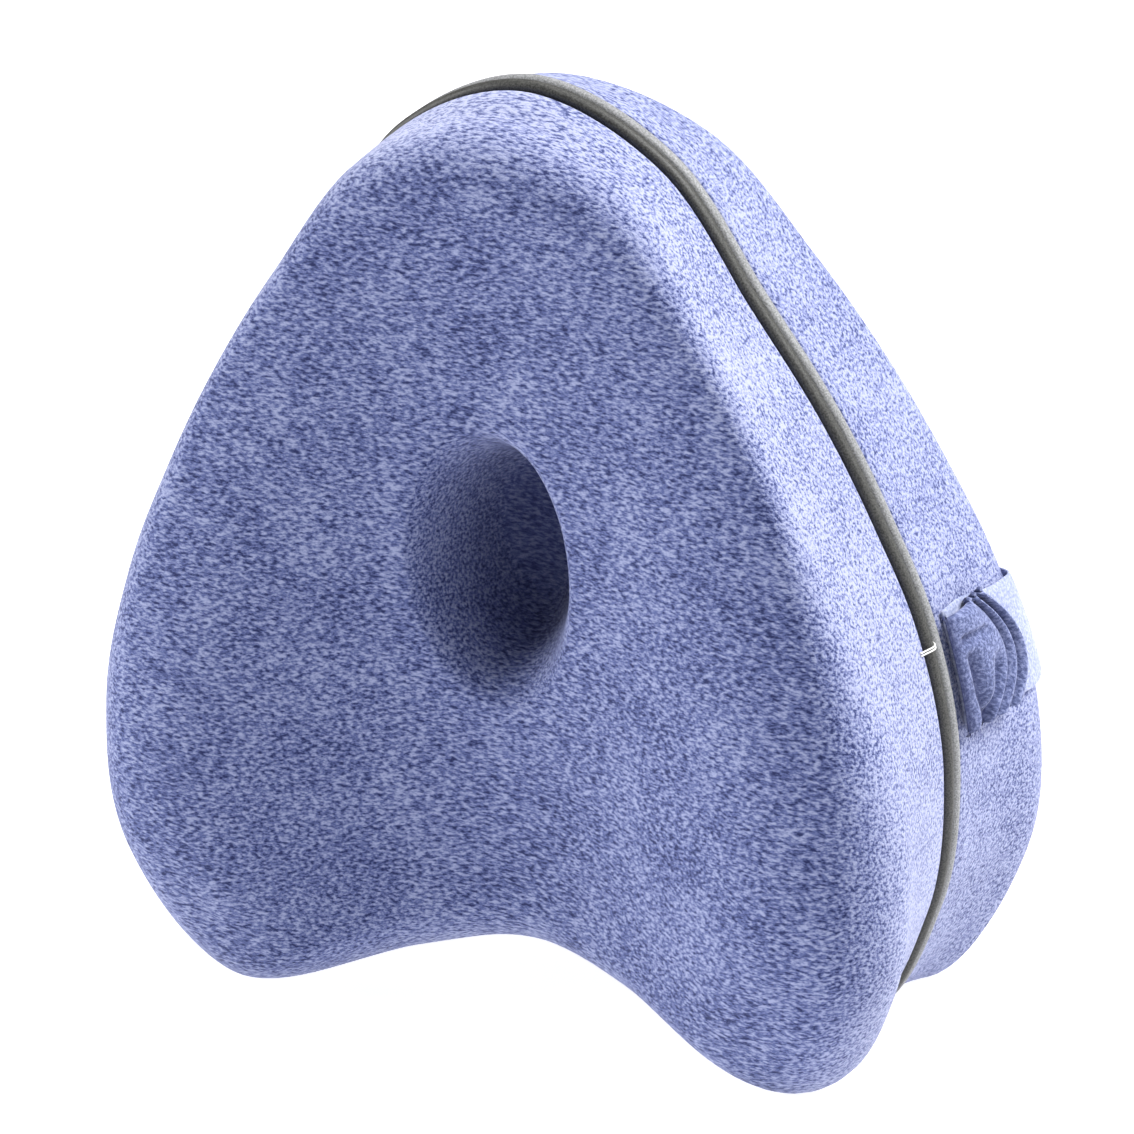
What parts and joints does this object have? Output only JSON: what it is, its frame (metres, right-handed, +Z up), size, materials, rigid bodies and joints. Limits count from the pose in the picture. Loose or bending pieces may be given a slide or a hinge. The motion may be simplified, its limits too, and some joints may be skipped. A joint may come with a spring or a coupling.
{
  "type": "knee pillow",
  "caption": "Heart-shaped foam knee pillow in a zipped knit cover, with saddle faces, a dimple in each and an elastic leg strap across the back.",
  "frame": {"origin": "centre of the box's base, on the surface that the pillow stands on", "axes": "+Z up to the narrow end, +X to the right seen from the front, -Y out of the front face"},
  "size_m": [0.2328, 0.1146, 0.2482],
  "materials": {
    "knit_fabric": "heathered blue velvety stretch knit",
    "zip_tape": "grey woven tape, rolled over a concealed zip"
  },
  "bodies": {
    "root": {"pillow": "knit_fabric", "strap": "knit_fabric", "zip_front": "zip_tape", "zip_back": "zip_tape"}
  },
  "joints": []
}
